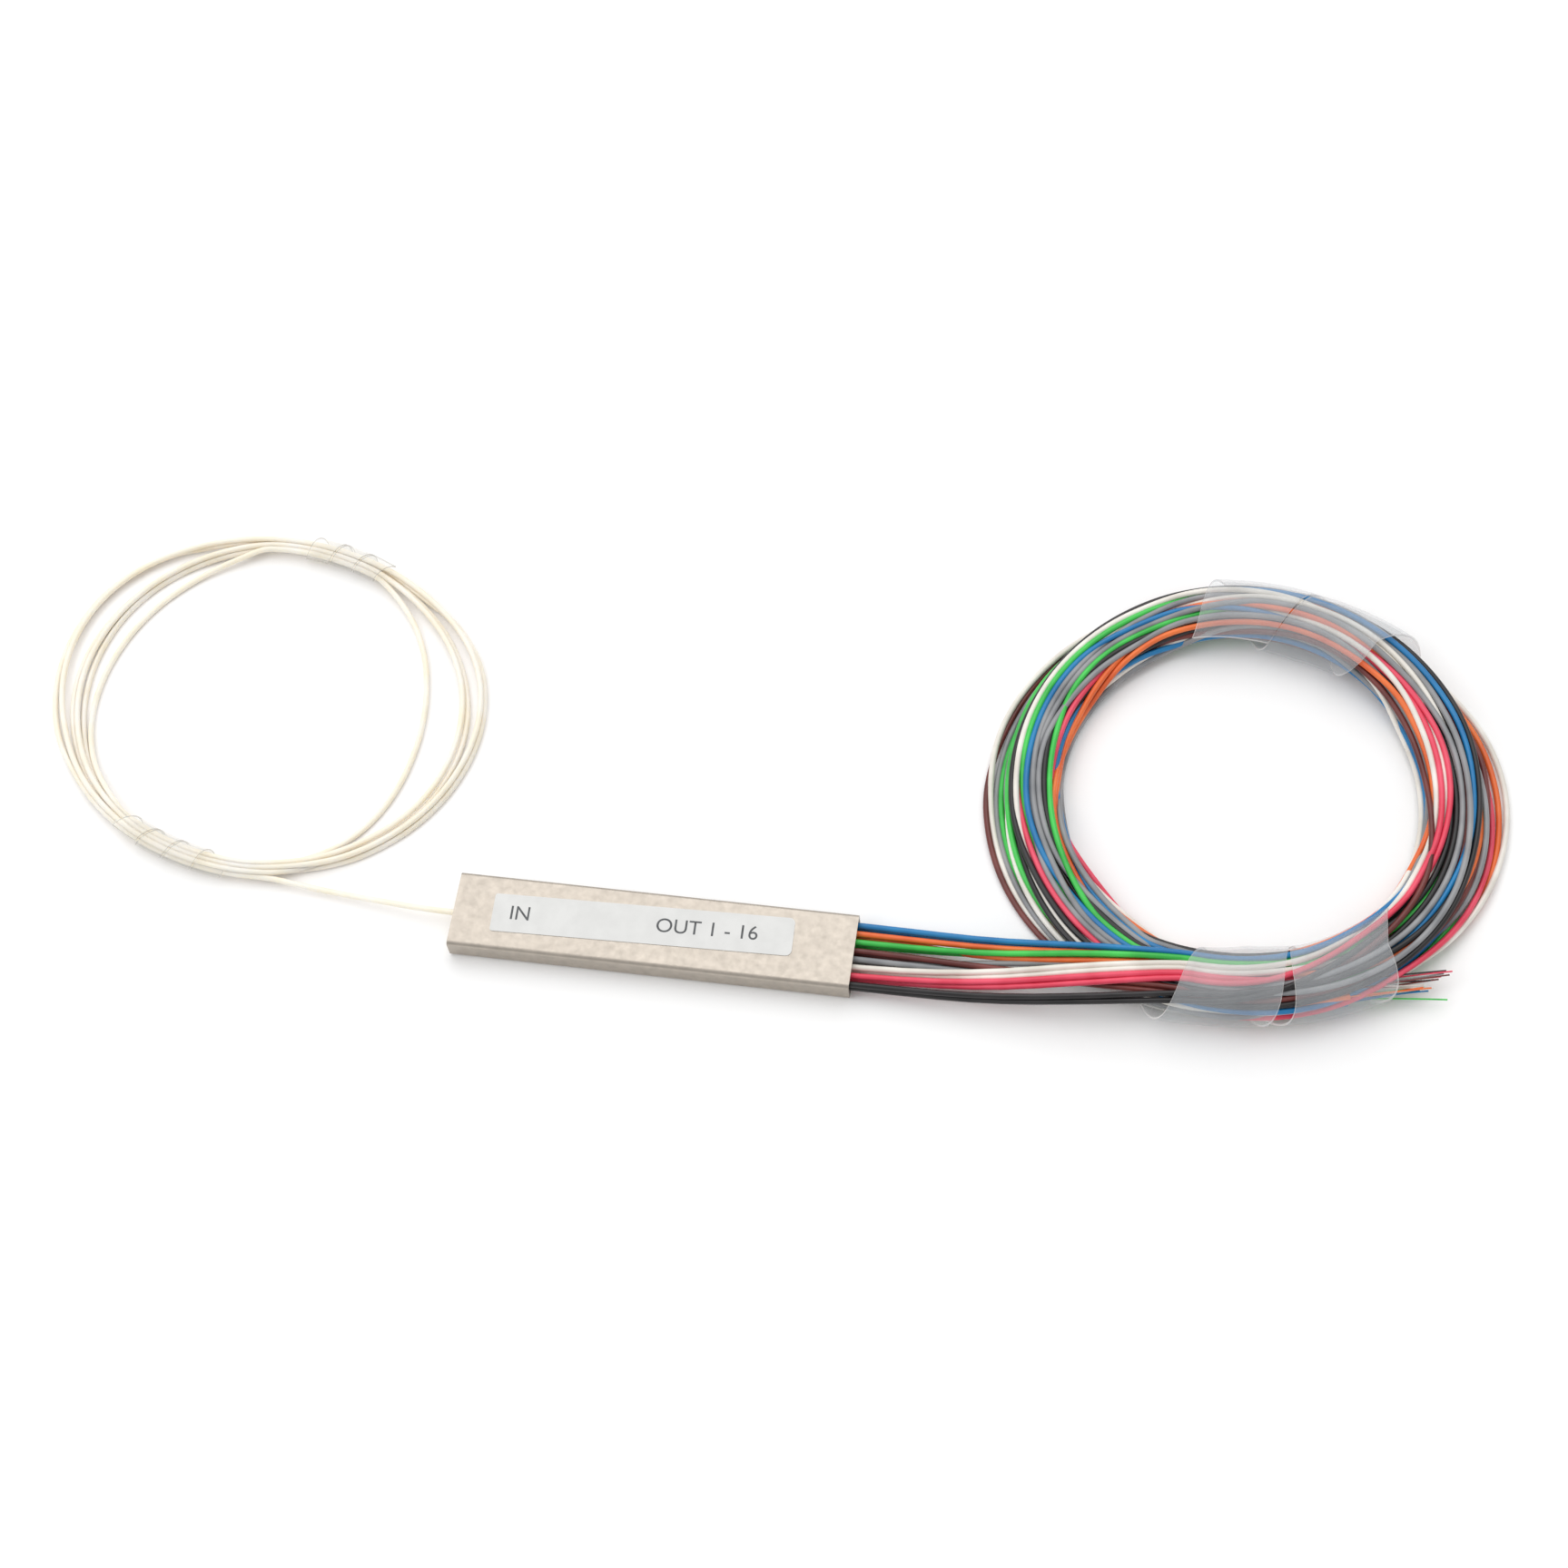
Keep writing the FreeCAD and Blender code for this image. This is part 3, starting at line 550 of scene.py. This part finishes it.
def heap_rows(count, angle, inner, outer):
    """Places for the tubes beneath the top ones, row on row up from the floor."""
    low, high, wrapped = (eased(angle, edge) for edge in (LOW_EDGE, HIGH_EDGE, WRAPPED))
    rows, height = [], low + TUBE_DIAMETER / 2
    while sum(map(len, rows)) < count:
        up = 2 * (height - low) / (high - low) - 1
        narrow = wrapped * (1 - math.sqrt(max(0.0, 1 - up * up))) * (outer - inner) / 2
        start = inner + narrow + ROW_STAGGER * (len(rows) % 2)
        start += INNER_SLOPE * len(rows) * (1 - wrapped)
        end = outer - narrow - OUTER_SLOPE * len(rows) * (1 - wrapped)
        row = [(radius, height) for radius in np.arange(start, end, TUBE_DIAMETER)]
        if not row:
            raise ValueError(f"the heap at {angle} degrees has no room for {count} tubes")
        rows.append(row[:count - sum(map(len, rows))])
        height += ROW_RISE
    return rows


def tracks_round(shuffle):
    """A track round the coil for each turn of each tube, at every place in ON_TOP.

    Tubes that are listed go where they are listed, those of a colour that lie nearest
    first, and the others keep their order beneath them.
    """
    colours = np.repeat(np.arange(COLOURS), 2 * TURNS)
    now = np.stack([shuffle.uniform(27, 37, len(colours)),
                    shuffle.uniform(0.5, 3, len(colours))], 1)
    tracks = []
    for angle, inner, outer, words in ON_TOP:
        listed = [spot.split() for spot in words.split(",")]
        rows = heap_rows(len(colours) - len(listed), angle, inner, outer)
        cells = [cell for row in rows for cell in row]
        then, firm, taken = np.zeros_like(now), np.full((len(colours), 2), HELD_BENEATH), []
        raised, lying = False, {}
        for rank, spot in enumerate(listed):
            radius = float(spot[1])
            under = [height for r, height in cells if abs(r - radius) < BESIDE]
            height = float(spot[2]) if len(spot) > 2 else max(under, default=UNDER_FIRST) + ROW_RISE
            raised = spot[0] not in DARK_COLOURS and not raised
            if raised and len(spot) < 3:
                height += LIVELY_RISE
            lying[rank] = (radius, height)
        for colour, name in enumerate(COLOUR_NAMES):
            spots, keeps = [], []
            for rank, spot in enumerate(listed):
                if spot[0] == name:
                    spots.append(lying[rank])
                    keeps.append(HELD_AT_HEIGHT if len(spot) > 2 else HELD_ON_TOP)
            if not spots:
                continue
            own = np.flatnonzero(colours == colour)
            apart = np.abs(now[own][:, None] - np.array(spots)) @ (1.0, 0.8)
            picks = np.array(list(permutations(range(len(own)), len(spots))))
            cost = apart[picks, np.arange(len(spots))].sum(1)
            best = own[picks[cost.argmin()]]
            then[best], firm[best] = spots, keeps
            taken += list(best)
        left = np.setdiff1d(np.arange(len(colours)), taken)
        left = left[np.argsort(now[left, 1], kind="stable")]
        for row in rows:
            members, left = left[:len(row)], left[len(row):]
            members = members[np.argsort(now[members, 0], kind="stable")]
            then[members] = row
        tracks.append(np.hstack([then, firm]))
        now = then
    return np.array(tracks)


def lead_points(index):
    """A tube's points from inside the end plug to the coil's lower wrap."""
    column, layer = divmod(index, 2)
    across, up = (3.5 - column) * COLUMN_PITCH, PLUG_MIDDLE + (layer - 0.5) * LAYER_PITCH
    points = [(along, across, up) for along in PLUG_ALONG]
    return points + [(along, *spot) for along, spot in zip(LEADS_ALONG, LEADS[index])]


# The tubes end side by side on a straight way, four by four, inside the lower wrap. The way
# leans by TAIL_WAY and passes the coil's middle at TAIL_RADIUS.
TAIL_WAY = math.radians(13.0)
TAIL_RADIUS = 33.6
TAIL_HEIGHT = 3.4
TAIL_PITCH = (0.86, 0.8)
TAIL_ALONG = (2.5, 6.3, 10.2)
FIBRE_ROOT = 8.5


def tail_place(index, along):
    """A tube's place in the squared-off end of the bundle, along its own straight way.

    The place -1 is the middle of the bundle.
    """
    column, row = divmod(index, 4) if index >= 0 else (1.5, 1.5)
    across, up = (column - 1.5) * TAIL_PITCH[0], (row - 1.5) * TAIL_PITCH[1]
    x, y = along, -TAIL_RADIUS + across
    return (OUTPUT_MIDDLE[0] + x * math.cos(TAIL_WAY) - y * math.sin(TAIL_WAY),
            OUTPUT_MIDDLE[1] + x * math.sin(TAIL_WAY) + y * math.cos(TAIL_WAY),
            TAIL_HEIGHT + up)


def ring_place(point):
    """A point as its angle and radius round the output coil, and its height."""
    x, y = point[0] - OUTPUT_MIDDLE[0], point[1] - OUTPUT_MIDDLE[1]
    return math.degrees(math.atan2(y, x)), math.hypot(x, y), point[2]


def chained(starts, ends, leads, tails):
    """Which track each of a colour's two tubes follows at each turn, with least sideways way."""
    orders = np.array(list(permutations(range(len(starts)))))
    weigh = np.array((1.0, 0.5))
    step = np.abs(ends[:, None] - starts[None]) @ weigh
    cost = 0
    for tube in range(2):
        first = orders[:, tube * TURNS]
        last = orders[:, tube * TURNS + TURNS - 1]
        cost = cost + (np.abs(starts - leads[tube]) @ weigh)[first]
        cost = cost + (np.abs(ends - tails[tube]) @ weigh)[last]
        for turn in range(TURNS - 1):
            cost = cost + step[orders[:, tube * TURNS + turn], orders[:, tube * TURNS + turn + 1]]
    return orders[cost.argmin()].reshape(2, TURNS)


def output_places():
    """The four turns of all sixteen output tubes, as radius and height at each station."""
    shuffle = np.random.default_rng(7)
    tracks = tracks_round(shuffle)
    angles = [OUTPUT_FIRST + STEP * station for station in range(OUTPUT_STATIONS)]
    travelled = np.array(angles) - OUTPUT_FIRST
    wanted = np.zeros((OUTPUTS, OUTPUT_STATIONS, 2))
    hold = np.zeros((OUTPUTS, OUTPUT_STATIONS, 2))
    for column in range(COLOURS):
        own = slice(2 * TURNS * column, 2 * TURNS * (column + 1))
        pair = (2 * column, 2 * column + 1)
        leads = [np.array(LEADS[index][3]) for index in pair]
        tails = [np.array(ring_place(tail_place(index, TAIL_ALONG[0]))[1:]) for index in pair]
        order = chained(tracks[0, own, :2], tracks[-1, own, :2], leads, tails)
        for tube, index in enumerate(pair):
            turned, radius, height = ring_place(lead_points(index)[-1])
            known = [(turned, radius, height, *HELD_AT_LEAD),
                     (LEADS_INSIDE, *LEADS[index][3], *HELD_INSIDE)]
            for turn in range(TURNS):
                track = tracks[:, own][:, order[tube, turn]]
                known += [(360 * turn + place[0], *spot) for place, spot in zip(ON_TOP, track)]
            for along in TAIL_ALONG:
                turned, radius, height = ring_place(tail_place(index, along))
                known.append((360 * TURNS + turned, radius, height, *HELD_AT_TAIL))
            way, radii, heights, *firm = zip(*known)
            wanted[index, :, 0] = np.interp(angles, way, radii)
            wanted[index, :, 1] = np.interp(angles, way, heights)
            for axis in range(2):
                hold[index, :, axis] = np.interp(angles, way, firm[axis])
            wander = sum(shuffle.normal(0, WANDER) * np.sin(np.radians(travelled) * waves
                                                            + shuffle.uniform(0, 6.3))
                         for waves in WANDER_WAVES)
            wanted[index, 4:-4, 0] += wander[4:-4]
    sections = [[eased(angle, edge) for edge in
                 (INNER_EDGE, OUTER_EDGE, LOW_EDGE, HIGH_EDGE, WRAPPED)] for angle in angles]
    return angles, settled(wanted, hold, sections, OUTPUT_ROUNDS)


angles, places = output_places()

# Where each bare fibre ends: its length, how far across and how far up from the middle of
# the tubes' ends. Most lie in two bunches, and one strays.
FIBRE_TIPS = [(10.4, -0.5, -1.0), (11.6, -0.7, -0.9), (10.9, -0.2, -0.6), (12.0, -0.5, -0.4),
              (14.2, -2.0, -1.7), (11.2, -0.1, -0.9), (13.2, 0.6, -0.1), (14.8, 1.0, 0.2),
              (12.6, 0.8, -0.5), (14.1, 1.4, -0.1), (12.4, -0.4, -0.8), (11.0, 0.1, -0.4),
              (13.7, 1.1, -0.4), (15.3, 1.5, 0.2), (12.0, 0.5, 0.0), (14.5, 1.8, 0.0)]
for index in range(OUTPUTS):
    column, layer = divmod(index, 2)
    number = f"{index + 1:02d}"
    name = COLOUR_NAMES[column]
    points = lead_points(index)
    points += [round_coil(OUTPUT_MIDDLE, radius, angle, height)
               for angle, (radius, height) in zip(angles[:-1], places[index][:-1])]
    points.append(tail_place(index, TAIL_ALONG[-1]))
    tube = cord_curve("output_tube_" + number, points, TUBE_DIAMETER, tube_finish[name])
    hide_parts("output_lead_" + number)

    # the stripped fibre: out of the tube's end and a little apart from its neighbours
    reach, across, up = FIBRE_TIPS[index]
    root = Vector(tail_place(index, FIBRE_ROOT))
    tip = Vector(tail_place(-1, TAIL_ALONG[-1] + reach))
    side = Vector((-math.sin(TAIL_WAY), math.cos(TAIL_WAY), 0))
    tip += side * across + Vector((0, 0, up))
    middle = root.lerp(tip, 0.5) + side * 0.2 * math.sin(index * 2.1) + Vector((0, 0, 0.15))
    fibre = cord_curve("fibre_end_" + name + "_" + number, [root, middle, tip], FIBRE_DIAMETER,
                       fibre_finish[name], sides=2, steps=8)
    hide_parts("fibre_end_" + number)
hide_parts("output_coil")


# ---------------------------------------------------------------- spiral wraps

def spiral_wrap(name, middle, section_at, first, pitch, width, turns, start, thickness, waist,
                material, cut, along=96, rows=12, hurry=0.0, splay=0.0):
    """A band wound round a bundle in open spiral turns, advancing round the coil.

    It begins at the angle first round the coil and at start round the bundle, and advances
    by pitch a turn. It advances faster where it is out of sight by hurry, is wider on the
    coil's inner side by waist, and its last edge, or its first for a splay under 0, stands
    open.
    """
    band = bmesh.new()
    bmesh.ops.create_grid(band, x_segments=along, y_segments=rows, size=0.5)
    end = math.copysign(1, splay)
    for corner in band.verts:
        turned = turns * (corner.co.x + 0.5)
        turn = math.radians(start + 360 * turned)
        inward = -math.cos(turn)
        advance = pitch * (turned - hurry * math.sin(turn - math.radians(70)))
        angle = first + advance + width / 2 + (width + waist * inward) * corner.co.y
        last = min(1, max(0, 2 * (turned - 1) * end))
        angle += splay * max(0, 2 * corner.co.y * end) * last * max(0, inward)
        inner, outer, low, high = section_at(angle)
        half, rise = (outer - inner + thickness) / 2, (high - low + thickness) / 2
        corner.co = Vector(round_coil(middle, (inner + outer) / 2 + half * math.cos(turn),
                                      angle, (low + high) / 2 + rise * math.sin(turn))) * MM
    bmesh.ops.recalc_face_normals(band, faces=band.faces)
    mesh = bpy.data.meshes.new(name)
    band.to_mesh(mesh)
    band.free()
    for face in mesh.polygons:
        face.use_smooth = True
    mesh.materials.append(material)
    mesh.materials.append(cut)
    piece = bpy.data.objects.new(name, mesh)
    bpy.context.scene.collection.objects.link(piece)
    wall = piece.modifiers.new("wall", "SOLIDIFY")
    wall.thickness, wall.offset, wall.use_even_offset = thickness * MM, 0, True
    wall.material_offset_rim = 1
    edge = piece.modifiers.new("soft_edge", "BEVEL")
    edge.width, edge.segments, edge.limit_method = thickness * 0.3 * MM, 2, "ANGLE"
    edge.angle_limit = math.radians(50)
    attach(piece, "root")
    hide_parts(name)
    return piece


TIE_THICKNESS = 0.25
TIE_TOP = 3.45
WRAP_THICKNESS = 0.4


def input_tie_ring(angle):
    """Inner and outer radius, lowest and highest point of the ties on the input coil."""
    edge = input_outer(angle)
    return edge - INPUT_TIED_WIDTH - TIE_THICKNESS, edge + TIE_THICKNESS, TIE_THICKNESS, TIE_TOP


# The wraps are stiff film, so each turn runs straight while the tubes inside it curve.
LOWER_INNER = [(-110, 27.6), (-98, 27.3), (-84, 26.2), (-76, 26.5), (-67, 27.1), (-50, 27.4),
               (-36, 28.6)]
LOWER_OUTER = [(-112, 39.4), (-104, 39.0), (-95, 38.0), (-84, 37.7), (-79, 37.6), (-65, 38.0),
               (-55, 38.7), (-40, 39.2)]
UPPER_INNER = [(118, 26.8), (110, 26.5), (91, 25.5), (75, 24.9), (60, 25.6), (50, 26.6),
               (40, 27.4)]
UPPER_OUTER = [(118, 37.0), (104, 36.4), (95, 35.9), (88, 35.8), (74, 35.7), (62, 36.3), (50, 37.2),
               (40, 37.7)]


LOWER_TOP = 8.4
UPPER_TOP = 7.7


def lower_film(angle):
    return eased(angle, LOWER_INNER), eased(angle, LOWER_OUTER), WRAP_THICKNESS, LOWER_TOP


def upper_film(angle):
    return eased(angle, UPPER_INNER), eased(angle, UPPER_OUTER), WRAP_THICKNESS, UPPER_TOP


spiral_wrap("output_wrap_lower", OUTPUT_MIDDLE, lower_film, first=-111.2, pitch=27.5, width=25.4,
            turns=2.0, start=-60.0, thickness=WRAP_THICKNESS, waist=1.9, material=frosted_wrap_and_painted_shade,
            cut=frosted_cut, hurry=0.095, splay=5.0)
spiral_wrap("output_wrap_upper", OUTPUT_MIDDLE, upper_film, first=44.0, pitch=25.5, width=24.9,
            turns=1.62, start=-60.0, thickness=WRAP_THICKNESS, waist=0.5, material=frosted_wrap_and_painted_shade,
            cut=frosted_cut, splay=-5.0)
spiral_wrap("input_tie_upper", INPUT_MIDDLE, input_tie_ring, first=59.5, pitch=9.0, width=8.3,
            turns=2.5, start=30.0, thickness=TIE_THICKNESS, waist=0.0, material=clear_wrap,
            cut=clear_cut, along=130, rows=6)
spiral_wrap("input_tie_lower", INPUT_MIDDLE, input_tie_ring, first=-127.2, pitch=9.7, width=9.0,
            turns=3.05, start=30.0, thickness=TIE_THICKNESS, waist=0.0, material=clear_wrap,
            cut=clear_cut, along=170, rows=6)


# ---------------------------------------------------------------- carried-over parts

def finish_node(node, material):
    """Gives a part of the CAD model its finish."""
    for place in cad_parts[node].material_slots:
        place.material = material


for node, material in {
    "steel_tube": steel, "label": vinyl, "input_end_plug": resin, "output_end_plug": resin,
    "silicone_pad": silicone, "splitter_chip": silica, "chip_cover_glass": glass,
    "input_array_base": glass, "input_array_lid": glass, "output_array_base": glass,
    "output_array_lid": glass, "input_fibre": coating, "fan_out_fibres": coating,
}.items():
    finish_node(node, material)


# The label lies a little askew on the tube, and the print stands just above its face.
LABEL_TILT = 1.5
LABEL_FACE = (-1.6, 0.5, 4.106)
LEGEND_HEIGHT = 3.2


def legend(name, words, x, y, height):
    """Plain words printed on the label: which end is which."""
    line = bpy.data.curves.new(name, "FONT")
    line.body, line.size, line.align_x, line.align_y = words, height * MM, "LEFT", "CENTER"
    line.extrude = 0.004 * MM
    text = bpy.data.objects.new(name, line)
    bpy.context.scene.collection.objects.link(text)
    bpy.context.view_layer.update()
    mesh = bpy.data.meshes.new_from_object(text)
    bpy.data.objects.remove(text)
    turned = Matrix.Rotation(math.radians(LABEL_TILT), 4, "Z")
    mesh.transform(Matrix.Translation(Vector(LABEL_FACE) * MM) @ turned
                   @ Matrix.Translation(Vector((x, y, 0)) * MM))
    mesh.materials.clear()
    mesh.materials.append(ink)
    piece = bpy.data.objects.new(name, mesh)
    bpy.context.scene.collection.objects.link(piece)
    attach(piece, "root")


legend("label_legend_in", "IN", -20.0, 0.0, LEGEND_HEIGHT)
legend("label_legend_out", "OUT 1 - 16", 2.0, 0.0, LEGEND_HEIGHT)


# ---------------------------------------------------------------- floor and light

def floor():
    """A sheet of white paper under the part."""
    sheet = bmesh.new()
    bmesh.ops.create_grid(sheet, x_segments=1, y_segments=1, size=2.5)
    mesh = bpy.data.meshes.new("floor")
    sheet.to_mesh(mesh)
    sheet.free()
    material, shader = new_material("white_paper")
    place = object_place(material)
    material.node_tree.links.new(mottled(material, place, 400, "#fbfbfb", "#ffffff"),
                                 shader.inputs["Base Color"])
    shader.inputs["Roughness"].default_value = 0.9
    mesh.materials.append(material)
    piece = bpy.data.objects.new("floor", mesh)
    bpy.context.scene.collection.objects.link(piece)


def lamp(name, place, size, power, aim=(0.01, 0.02, 0.0)):
    """A round softbox that points at the part."""
    light = bpy.data.lights.new(name, "AREA")
    light.shape, light.size, light.energy = "DISK", size, power
    held = bpy.data.objects.new(name, light)
    held.location = place
    way = Vector(aim) - Vector(place)
    held.rotation_euler = way.to_track_quat("-Z", "Y").to_euler()
    bpy.context.scene.collection.objects.link(held)


floor()
world = bpy.data.worlds.new("studio")
bpy.context.scene.world = world
world.use_nodes = True
world.node_tree.nodes["Background"].inputs["Color"].default_value = (1, 1, 1, 1)
world.node_tree.nodes["Background"].inputs["Strength"].default_value = 0.62
lamp("softbox_behind", (-0.15, 0.9, 1.5), 2.2, 17)
lamp("softbox_left", (-0.9, -0.3, 1.1), 0.9, 4.5)
